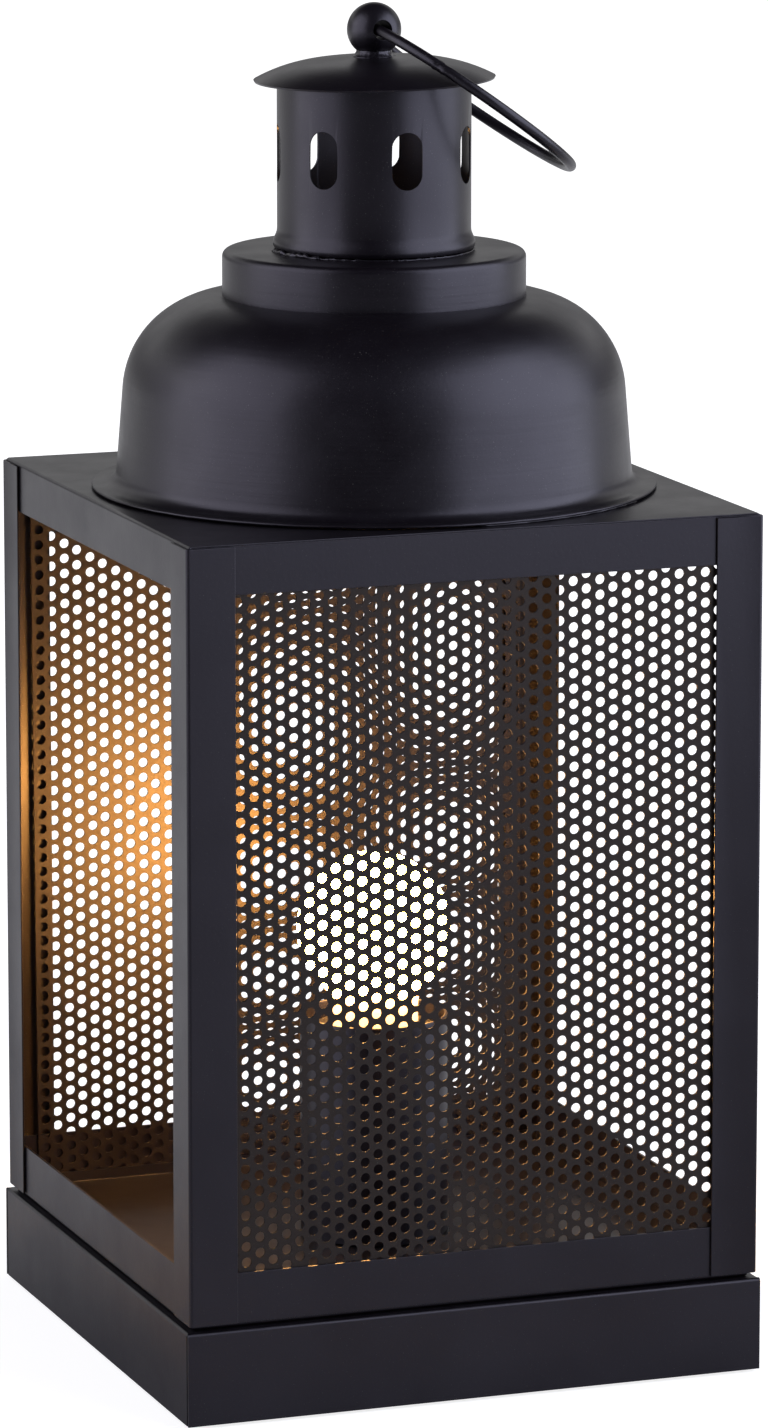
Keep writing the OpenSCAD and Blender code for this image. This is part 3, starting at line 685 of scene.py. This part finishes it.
def make_bead(name, radius, z, thickness, lumps, size, arcs=None):
    """A run of brushed-on solder: a thin ring, uneven in height and width, that comes and goes."""
    deselect()
    ops.mesh.primitive_torus_add(major_segments=480, minor_segments=8, major_radius=radius * MM,
                                 minor_radius=thickness * MM, location=(0, 0, z * MM))
    obj = bpy.context.object
    obj.name = name
    ops.object.transform_apply(location=True, rotation=True, scale=True)
    if arcs:
        ops.object.mode_set(mode="EDIT")
        pick("FACE", lambda m, f: not any(
            a <= math.degrees(math.atan2(m.x, -m.y)) <= b for a, b in arcs))
        ops.mesh.delete(type="FACE")
        pick("EDGE", lambda m, e: e.is_boundary)
        ops.mesh.edge_face_add()
        outwards()
        done(obj)
    roughen(obj, lambda m: True, lumps, size)
    only(obj)
    ops.object.shade_smooth()
    return obj


def make_neck():
    """A spun step ring on the dome, with a rounded upper edge."""
    bore = 27.0
    profile = (
        [(43.5, DOME_TOP)]
        + arc(41.5, NECK_TOP - 2, 2, 0, 90, 8)
        + [(bore, NECK_TOP), (bore, NECK_TOP - SHEET)]
        + arc(41.5, NECK_TOP - 2, 1.2, 90, 0, 8)
        + [(42.7, DOME_TOP)]
    )
    return turned("neck_step", profile, steps=128)


def make_slot_cutter(turn):
    """A rod with round ends in height, as long as the chimney is wide, that punches one slot."""
    obj = start("cutter", ops.mesh.primitive_circle_add, (0, 0, 0), vertices=32,
                radius=SLOT_R * MM, fill_type="NGON")
    pick("VERT", lambda m, v: m.y > 0.01)
    move(0, SLOT_STRAIGHT, 0)
    pick("VERT", lambda m, v: m.y < -0.01)
    move(0, -SLOT_STRAIGHT, 0)
    ops.mesh.select_all(action="SELECT")
    ops.transform.rotate(value=math.radians(90), orient_axis="X", center_override=(0, 0, 0))
    move(0, 0, SLOT_Z)
    ops.mesh.extrude_region_move(TRANSFORM_OT_translate={"value": (0, -32 * MM, 0)})
    ops.mesh.select_all(action="SELECT")
    ops.transform.rotate(value=turn, orient_axis="Z", center_override=(0, 0, 0))
    outwards()
    return done(obj)


def make_chimney():
    """A rolled tube of thin sheet with a soft swage at its foot and seven round-ended vent slots."""
    wall, sheet = 27.75, 0.45
    foot = NECK_TOP
    profile = [
        (wall, CHIMNEY_TOP), (wall, CHIMNEY_TOP - 8), (wall, 331), (wall, foot + 6.2),
        (wall + 0.12, foot + 5.2), (wall + 0.5, foot + 4.2), (wall + 0.98, foot + 3.2),
        (wall + 1.2, foot + 2.2), (wall + 1.16, foot + 1.4), (wall + 0.8, foot + 0.7),
        (wall + 0.1, foot + 0.3), (wall - sheet, foot), (wall - sheet, CHIMNEY_TOP),
    ]
    obj = turned("chimney_tube", profile, steps=140)
    for i in range(SLOTS):
        cutter = make_slot_cutter(i * 2 * math.pi / SLOTS)
        modify(obj, "BOOLEAN", operation="DIFFERENCE", object=cutter, solver="EXACT")
        bpy.data.objects.remove(cutter)
    modify(obj, "BEVEL", width=0.2 * MM, segments=3, limit_method="ANGLE", angle_limit=math.radians(60))
    only(obj)
    ops.object.shade_smooth_by_angle(angle=math.radians(32))
    return obj


def paint_slot_lip_highlight(obj):
    """The lips of the vent slots get a pale grey coat: a painted highlight, which shows as fine light
    rims.
    """
    obj.data.materials.append(slot_lip_highlight)
    reach = SLOT_R + SLOT_STRAIGHT + 0.9
    for face in obj.data.polygons:
        middle = face.center / MM
        radial = Vector((middle.x, middle.y, 0)).normalized()
        rim = 0.15 < radial.dot(face.normal) < 0.95 and SLOT_Z - reach < middle.z < SLOT_Z + reach
        face.material_index = 1 if rim else 0


def make_cap():
    """A shallow spun lid whose brim overhangs the chimney."""
    crown, edge, border, brim = 150, 6.9, 47.2, 28

    def face(inset, crown_steps=6, border_steps=10):
        cx = (crown - border) * math.sin(math.radians(edge))
        cz = (crown - border) * math.cos(math.radians(edge)) - crown
        first = math.degrees(math.asin(SCREW_R / crown))
        flat = [math.radians(first + (edge - first) * i / crown_steps) for i in range(crown_steps + 1)]
        fall = [math.radians(edge + (brim - edge) * i / border_steps) for i in range(1, border_steps + 1)]
        return (
            [((crown - inset) * math.sin(t), CAP_TOP + (crown - inset) * math.cos(t) - crown)
             for t in flat]
            + [(cx + (border - inset) * math.sin(t), CAP_TOP + cz + (border - inset) * math.cos(t))
               for t in fall]
        )

    outer, inner = face(0), face(0.6)
    obj = turned("chimney_lid", outer + list(reversed(inner)), steps=128)
    # it was soldered on a little askew
    only(obj)
    ops.object.mode_set(mode="EDIT")
    ops.mesh.select_all(action="SELECT")
    move(0, 0, -CAP_TOP)
    ops.transform.rotate(value=math.radians(1.1), orient_axis="Y", center_override=(0, 0, 0))
    move(0, 0, CAP_TOP)
    return done(obj)


def make_ball():
    """A turned ball with a flat underside and a drilled cross hole, its mouths a little rounded.
    The hole is loose, and the ring's wire lies low in it."""
    r, middle, flat = 7.75, BALL_Z - 0.15, BALL_Z - 5.9
    low = -math.degrees(math.asin((middle - flat) / r))
    profile = [(0, middle + r)] + arc(0, middle, r, 88, low, 40) + [(0, flat)]
    obj = turned("finial_knob", profile, steps=96, closed=False)
    hole_r, hole_above_hinge = 2.85, 0.3
    drill = start("drill", ops.mesh.primitive_circle_add, (0, 0, 0), vertices=40,
                  radius=hole_r * MM, fill_type="NGON")
    ops.transform.rotate(value=math.radians(90), orient_axis="X", center_override=(0, 0, 0))
    move(0, 10, HINGE_Z + hole_above_hinge)
    ops.mesh.extrude_region_move(TRANSFORM_OT_translate={"value": (0, -20 * MM, 0)})
    outwards()
    done(drill)
    modify(obj, "BOOLEAN", operation="DIFFERENCE", object=drill, solver="EXACT")
    bpy.data.objects.remove(drill)
    modify(obj, "BEVEL", width=0.25 * MM, segments=2, limit_method="ANGLE", angle_limit=math.radians(50))
    only(obj)
    ops.object.shade_smooth_by_angle(angle=math.radians(35))
    return obj


def make_ring():
    """A ring of round wire, butt-welded: the weld is a small uneven swelling."""
    ring_r, wire_r = 35.1, 1.55
    droop, turn, slip = 35.6, 5.1, 0.5
    weld_x, weld_y, weld_reach = -19.6, -29.1, 2.2
    deselect()
    ops.mesh.primitive_torus_add(
        major_segments=240, minor_segments=20, major_radius=ring_r * MM, minor_radius=wire_r * MM,
        location=(0, 0, 0))
    obj = bpy.context.object
    obj.name = "carry_ring"

    def weld(m):
        return math.hypot(m.x - weld_x, m.y - weld_y) < weld_reach

    roughen(obj, weld, 1.5, 1.6)
    # hung in the hole, let down to just above the brim, then turned a little out of square
    hung = Matrix.Translation(((ring_r - slip) * MM, 0, 0))
    hung = Matrix.Rotation(math.radians(droop), 4, "Y") @ hung
    hung = Matrix.Rotation(math.radians(-turn), 4, "Z") @ hung
    obj.matrix_world = Matrix.Translation((0, 0, HINGE_Z * MM)) @ hung
    only(obj)
    ops.object.transform_apply(location=True, rotation=True, scale=True)
    ops.object.shade_smooth()
    return obj


def make_collar():
    """The ball's seat on the cap: a run of solder that flares out over the cap, lumpy under the paint."""
    flare = ((6.3, -0.45), (6.2, -0.1), (5.9, 0.15), (5.6, 0.4), (5.35, 0.7), (5.2, 1.0), (5.1, 1.3),
             (5.05, 1.65))
    profile = [(SCREW_R, CAP_TOP - 0.45)] + [(r, CAP_TOP + z) for r, z in flare]
    profile.append((SCREW_R, CAP_TOP + 1.65))
    obj = turned("finial_seat", profile, steps=128)
    return roughen(obj, lambda m: math.hypot(m.x, m.y) > 3 and m.z > CAP_TOP - 0.3, 0.55, 1.1)


def place_bead(obj):
    obj.data.materials.append(solder)
    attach(obj, "lantern")


place(make_dome(), spun_paint, "black_paint", "dome")
place_bead(make_bead("dome_solder", 80.6, CAGE_TOP + 0.35, 0.42, 0.9, 1.1, arcs=[(2, 47)]))
place_bead(make_bead("chimney_solder", 28.5, NECK_TOP + 0.1, 0.30, 0.8, 1.1))
place_bead(make_bead("chimney_solder_run", 29.2, NECK_TOP + 0.25, 0.75, 1.9, 2.0, arcs=[(-98, -52)]))
place(make_neck(), spun_paint, "black_paint", "neck_ring")
# the chimney, with a highlight painted on the lips of its vent slots
paint_slot_lip_highlight(place(make_chimney(), black_paint, "black_paint", "chimney"))
place(make_cap(), spun_paint, "black_paint", "chimney_cap")
place(make_collar(), solder, "black_paint", "finial_collar")
place(make_ball(), black_paint, "black_paint", "finial_ball")
place(make_ring(), black_paint, "black_paint", "carrying_ring", body="ring")


# ---- Lampholder sleeve and bulb ----

def make_sleeve():
    """A drawn cup round the lampholder, with a rounded lip."""
    low, high = FLOOR, 94.0
    profile = (
        [(5.1, low), (20.9, low), (21.5, low + 0.6)]
        + arc(21.0, high - 0.5, 0.5, 0, 180, 6)
        + [(20.5, low + 1.4), (20.1, low + 1), (5.1, low + 1)]
    )
    return turned("holder_cup", profile, steps=96)


def make_globe():
    """A blown globe with a short neck."""
    z, r, neck, fillet, low = 118.9, 22.5, 12.8, 8, 85.4

    def face(inset):
        x = neck + fillet
        drop = math.sqrt((r + fillet) ** 2 - x ** 2)
        meet = math.degrees(math.atan2(drop, x))
        return (
            arc(0, z, r - inset, 90, -meet, 30)
            + arc(x, z - drop, fillet + inset, 180 - meet, 180, 8)
            + [(neck - inset, low)]
        )

    return turned("globe", face(0) + list(reversed(face(0.8))), steps=96, closed=False)


place(make_sleeve(), black_paint, "black_paint", "holder_sleeve")
place(make_globe(), opal, "bulb_glass", "bulb_globe", body="bulb")


# ---- Feet, screws and grommet ----

def at_corners(obj, x, y, name):
    """Copies of a piece at the four corners, joined as one."""
    copies = []
    for side in (-1, 1):
        for end in (-1, 1):
            other = copy_of(obj, name)
            ops.object.mode_set(mode="EDIT")
            ops.mesh.select_all(action="SELECT")
            move(side * x, end * y, 0)
            ops.object.mode_set(mode="OBJECT")
            copies.append(other)
    bpy.data.objects.remove(obj)
    deselect()
    for other in copies:
        other.select_set(True)
    bpy.context.view_layer.objects.active = copies[0]
    ops.object.join()
    copies[0].name = name
    return copies[0]


def make_feet():
    foot = turned("foot", [(0, 0), (6.2, 0)] + arc(6.3, 0.7, 0.7, -90, 0, 4) + [(6.8, 2.5), (0, 2.5)],
                  steps=48, closed=False)
    return at_corners(foot, 60.3, 59.8, "feet")


def make_screws():
    """Pan-head screws with a cross recess, seen from below."""
    profile = [(0, 0.9), (1.6, 0.92), (2.3, 1.15), (2.75, 1.7), (2.8, 2.5), (1.5, 2.5), (1.5, 7.5),
               (0, 7.5)]
    screw = turned("screw", profile, steps=32, closed=False)
    for turn in (0, 90):
        cutter = start("cutter", ops.mesh.primitive_cube_add, (0, 0, 0.9), size=1)
        ops.transform.resize(value=(2.6 * MM, 0.55 * MM, 1.2 * MM))
        ops.transform.rotate(value=math.radians(turn), orient_axis="Z", center_override=(0, 0, 0))
        done(cutter)
        modify(screw, "BOOLEAN", operation="DIFFERENCE", object=cutter, solver="EXACT")
        bpy.data.objects.remove(cutter)
    return at_corners(screw, 76.3, 75.8, "base_screws")


def make_grommet():
    """A moulded rubber grommet in the back wall, with rounded flanges."""
    wall = PLINTH[1]
    profile = (
        [(3.2, wall + 1.5), (5.9, wall + 1.5), (6.5, wall + 0.9), (6.5, wall), (4.5, wall),
         (4.5, wall - SHEET), (6.5, wall - SHEET), (6.5, wall - SHEET - 0.9), (5.9, wall - SHEET - 1.5),
         (3.2, wall - SHEET - 1.5)]
    )
    obj = turned("cord_grommet", profile, steps=48)
    only(obj)
    ops.object.mode_set(mode="EDIT")
    ops.mesh.select_all(action="SELECT")
    # lays the axis along Y, with the outer flange towards +Y
    ops.transform.rotate(value=math.radians(-90), orient_axis="X", center_override=(0, 0, 0))
    shape = bmesh.from_edit_mesh(obj.data)
    if sum(v.co.y for v in shape.verts) < 0:
        ops.transform.rotate(value=math.radians(180), orient_axis="X", center_override=(0, 0, 0))
    move(0, 0, 14.4)
    outwards()
    return done(obj)


place(make_feet(), rubber, "rubber", "rubber_feet")
place(make_screws(), zinc, "zinc_steel", "cover_screws")
place(make_grommet(), rubber, "rubber", "inlet_grommet")

# Hidden pieces keep their CAD shape
for names, material in (
    (("bottom_cover",), black_paint),
    (("finial_screw", "finial_washer", "threaded_stem", "stem_nuts", "stem_washer", "earth_stud",
      "earth_nut"), zinc),
    (("holder_base", "holder_shell", "bulb_insulator"), phenolic),
    (("holder_insert",), ceramic),
    (("centre_contact", "side_contact", "contact_screws", "terminal_clamps", "earth_tag",
      "bulb_contact"), brass),
    (("bulb_cap",), rolled_aluminium),
    (("bulb_stem",), clear_glass),
    (("bulb_filaments",), filament),
    (("terminal_block",), block_plastic),
    (("live_lead",), brown_lead),
    (("neutral_lead",), blue_lead),
    (("earth_lead",), green_lead),
):
    for name in names:
        node_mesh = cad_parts[name].data
        node_mesh.materials.clear()
        node_mesh.materials.append(material)


# ---- Studio ----

WHITE = (1, 1, 1, 1)
DARK_ROOM = (0.023, 0.019, 0.027, 1)     # what the paint mirrors away from the lights
FILL = (0.22, 0.22, 0.23, 1)             # soft light from all round, for all but gloss

def make_floor():
    """A plain white floor that keeps the object's shadow. To gloss it is bright behind the object only."""
    deselect()
    ops.mesh.primitive_plane_add(size=40, location=(0, 0, 0))
    floor = bpy.context.object
    floor.name = "studio_floor"
    material, tree, where = new_material("white_studio_floor")
    rays = add(tree, "ShaderNodeLightPath")
    place_on = add(tree, "ShaderNodeSeparateXYZ", {0: where})
    away = add(tree, "ShaderNodeVectorMath", {0: where}, operation="LENGTH")
    far = add(tree, "ShaderNodeMapRange", {"Value": (away, "Value"), "From Min": 0.15, "From Max": 0.9,
                                           "To Min": 0.80, "To Max": 1.0})
    behind = add(tree, "ShaderNodeMapRange", {"Value": (place_on, "Y"), "From Min": 0.0, "From Max": 0.42,
                                              "To Min": 0.0, "To Max": 0.52})
    seen = add(tree, "ShaderNodeMath", {0: (rays, "Is Camera Ray"), 1: (rays, "Is Transmission Ray")},
               operation="MAXIMUM")
    plain = add(tree, "ShaderNodeMath", {0: seen, 1: far}, operation="MULTIPLY")
    gloss = add(tree, "ShaderNodeMath", {0: (rays, "Is Glossy Ray"), 1: behind}, operation="MULTIPLY")
    glow = add(tree, "ShaderNodeMath", {0: plain, 1: gloss}, operation="MAXIMUM")
    matte = add(tree, "ShaderNodeBsdfDiffuse", {"Color": (0.5, 0.5, 0.5, 1)})
    light = add(tree, "ShaderNodeEmission", {"Color": WHITE, "Strength": glow})
    finish_material(tree, add(tree, "ShaderNodeAddShader", {0: matte, 1: light}))
    floor.data.materials.append(material)


def make_world():
    """White to the eye. To gloss: a white backdrop low down behind, and a dark room elsewhere."""
    world = bpy.data.worlds.new("studio")
    bpy.context.scene.world = world
    world.use_nodes = True
    tree = world.node_tree
    tree.nodes.clear()
    rays = add(tree, "ShaderNodeLightPath")
    ray = add(tree, "ShaderNodeTexCoord")
    parts = add(tree, "ShaderNodeSeparateXYZ", {0: (ray, "Generated")})
    behind = add(tree, "ShaderNodeMapRange", {
        "Value": (parts, "Y"), "From Min": -0.1, "From Max": 0.5}, interpolation_type="SMOOTHSTEP")
    below = add(tree, "ShaderNodeMapRange", {
        "Value": (parts, "Z"), "From Min": 0.24, "From Max": 0.58, "To Min": 1, "To Max": 0},
        interpolation_type="SMOOTHSTEP")
    rising = add(tree, "ShaderNodeMapRange", {
        "Value": (parts, "Z"), "From Min": 0.15, "From Max": 0.30, "To Min": 0.25, "To Max": 1},
        interpolation_type="SMOOTHSTEP")
    sheet = add(tree, "ShaderNodeMath", {0: below, 1: rising}, operation="MULTIPLY")
    backdrop = add(tree, "ShaderNodeMath", {0: behind, 1: sheet}, operation="MULTIPLY")
    mirror = add(tree, "ShaderNodeMix", {0: backdrop, 6: DARK_ROOM, 7: WHITE},
                 data_type="RGBA")
    fill = add(tree, "ShaderNodeMix", {0: (rays, "Is Glossy Ray"), 6: FILL, 7: (mirror, 2)},
               data_type="RGBA")
    seen = add(tree, "ShaderNodeMath", {0: (rays, "Is Camera Ray"), 1: (rays, "Is Transmission Ray")},
               operation="MAXIMUM")
    colour = add(tree, "ShaderNodeMix", {0: seen, 6: (fill, 2), 7: WHITE}, data_type="RGBA")
    light = add(tree, "ShaderNodeBackground", {"Color": (colour, 2), "Strength": 1})
    add(tree, "ShaderNodeOutputWorld", {"Surface": light})


def soft_box(name, turn, distance, low, width, height, strength, colour):
    """A tall soft box, turned round the object from the front towards the left, facing it."""
    lamp = bpy.data.lights.new(name, "AREA")
    lamp.shape = "RECTANGLE"
    lamp.size, lamp.size_y = width, height
    lamp.energy = strength * math.pi * width * height
    lamp.color = colour
    obj = bpy.data.objects.new(name, lamp)
    bpy.context.scene.collection.objects.link(obj)
    angle = math.radians(turn)
    obj.location = (-distance * math.sin(angle), -distance * math.cos(angle), low + height / 2)
    aim = Vector((0, 0, low + height / 2)) - obj.location
    obj.rotation_euler = aim.to_track_quat("-Z", "Y").to_euler()
    obj.visible_camera = False


make_floor()
make_world()
soft_box("left_box", 92, 1.8, 0.0, 2.3, 2.6, 2.0, (0.86, 0.85, 1.0))
soft_box("right_box", -55, 1.8, 0.0, 2.8, 2.7, 3.05, (0.80, 0.83, 1.0))

# The photograph's view: 20 degrees from the left and 10.4 degrees from above. Pixels are in its own
# frame of 768 x 1428.
PHOTO_W, PHOTO_H = 768, 1428
FOCAL_PX = 7137.9
AIM_PX = (374.1, 650.3)       # where the lamp's axis is at AIM_Z
AIM_Z = 0.201
SENSOR = 36
camera = bpy.data.cameras.new("photo_view")
camera.sensor_width = SENSOR
camera.lens = FOCAL_PX / PHOTO_H * SENSOR
camera.shift_x = (PHOTO_W / 2 - AIM_PX[0]) / PHOTO_H
camera.shift_y = (AIM_PX[1] - PHOTO_H / 2) / PHOTO_H
camera.clip_start, camera.clip_end = 0.05, 60
view = bpy.data.objects.new("photo_view", camera)
bpy.context.scene.collection.objects.link(view)
azimuth, elevation, distance = math.radians(-20.05), math.radians(10.44), 2.0609
back = Vector((math.sin(azimuth) * math.cos(elevation), -math.cos(azimuth) * math.cos(elevation),
               math.sin(elevation)))
view.location = Vector((0, 0, AIM_Z)) + back * distance
view.rotation_euler = (-back).to_track_quat("-Z", "Y").to_euler()
bpy.context.scene.camera = view

bpy.context.scene.view_settings.view_transform = "Standard"
